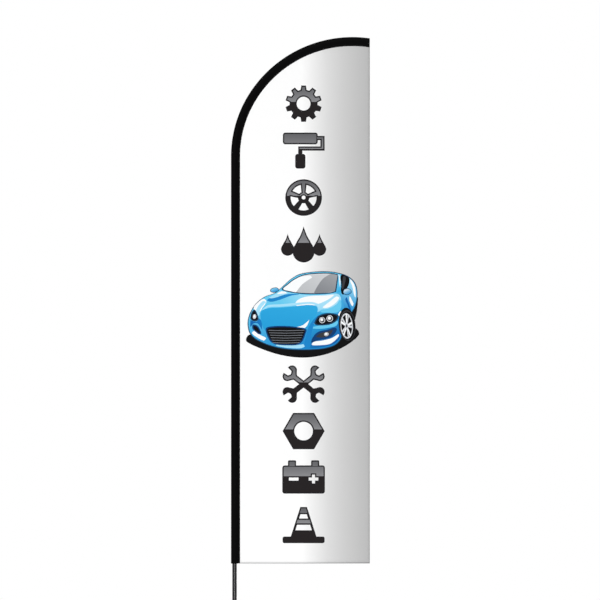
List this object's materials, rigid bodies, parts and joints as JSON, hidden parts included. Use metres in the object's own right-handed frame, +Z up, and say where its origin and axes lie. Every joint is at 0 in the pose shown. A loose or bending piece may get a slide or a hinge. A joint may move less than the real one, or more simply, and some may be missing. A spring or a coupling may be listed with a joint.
{
  "type": "feather flag",
  "caption": "Tall printed feather flag with a curved black pole sleeve, on a sectional pole that turns on a bearing above a ground spike.",
  "frame": {"origin": "on the pole's axis at ground level, where the round shank of the ground spike meets the underside of the foot plate", "axes": "+Z up along the pole, +X from the pole towards the flag's free edge, -Y the way the printed front faces"},
  "size_m": [0.9705, 0.06, 4.765],
  "materials": {
    "zinc_steel": "satin",
    "bearing_steel": "polished",
    "spring_steel": "satin",
    "cage_brass": "satin",
    "bare_aluminium": "satin",
    "seal_rubber": "matte",
    "guide_nylon": "matte",
    "black_plastic": "matte",
    "black_tube": "satin",
    "glass_fibre": "gloss",
    "webbing": "matte",
    "sleeve_cloth": "matte",
    "printed_cloth": "matte",
    "hem_cloth": "matte"
  },
  "bodies": {
    "stake": {"ground_spike": "zinc_steel", "foot_plate": "zinc_steel", "spindle": "zinc_steel", "weld_bead": "zinc_steel", "inner_races": "bearing_steel", "race_spacer": "zinc_steel", "retaining_ring": "spring_steel"},
    "ball_sets": {"bearing_balls": "bearing_steel", "ball_cages": "cage_brass"},
    "rotor": {"rotor_sleeve": "bare_aluminium", "outer_races": "bearing_steel", "dust_seal": "seal_rubber", "guide_rings": "guide_nylon", "rotor_cap": "black_plastic"},
    "flag": {"lower_tube": "black_tube", "second_tube": "black_tube", "joint_ferrule": "bare_aluminium", "third_tube": "glass_fibre", "whip": "glass_fibre", "whip_cap": "seal_rubber", "tip_pocket": "webbing", "snap_spring_lower": "spring_steel", "snap_spring_upper": "spring_steel", "cinch_strap": "webbing", "cinch_tab": "webbing", "pole_sleeve": "sleeve_cloth", "flag_panel": "printed_cloth", "fly_hem": "hem_cloth", "bottom_hem": "hem_cloth"},
    "lower_button": {"snap_button_lower": "spring_steel"},
    "upper_button": {"snap_button_upper": "spring_steel"}
  },
  "joints": [
    {"name": "pole_spin", "type": "hinge", "parent": "stake", "child": "rotor", "pos_m": [0, 0, 0.02], "axis": [0, 0, 1], "continuous": true},
    {"name": "cage_spin", "type": "hinge", "parent": "stake", "child": "ball_sets", "pos_m": [0, 0, 0.02], "axis": [0, 0, 1], "continuous": true},
    {"name": "lift_off", "type": "slide", "parent": "rotor", "child": "flag", "axis": [0, 0, 1], "range_m": [0, 0.15]},
    {"name": "press_lower_button", "type": "slide", "parent": "flag", "child": "lower_button", "axis": [-1, 0, 0], "range_m": [0, 0.0042], "stiffness_N_per_m": 900, "springref_m": -0.003, "deforming": ["snap_spring_lower"]},
    {"name": "press_upper_button", "type": "slide", "parent": "flag", "child": "upper_button", "axis": [-1, 0, 0], "range_m": [0, 0.004], "stiffness_N_per_m": 900, "springref_m": -0.003, "deforming": ["snap_spring_upper"]}
  ],
  "couplings": [
    {"joint": "cage_spin", "follows": "pole_spin", "ratio": 0.6054}
  ]
}
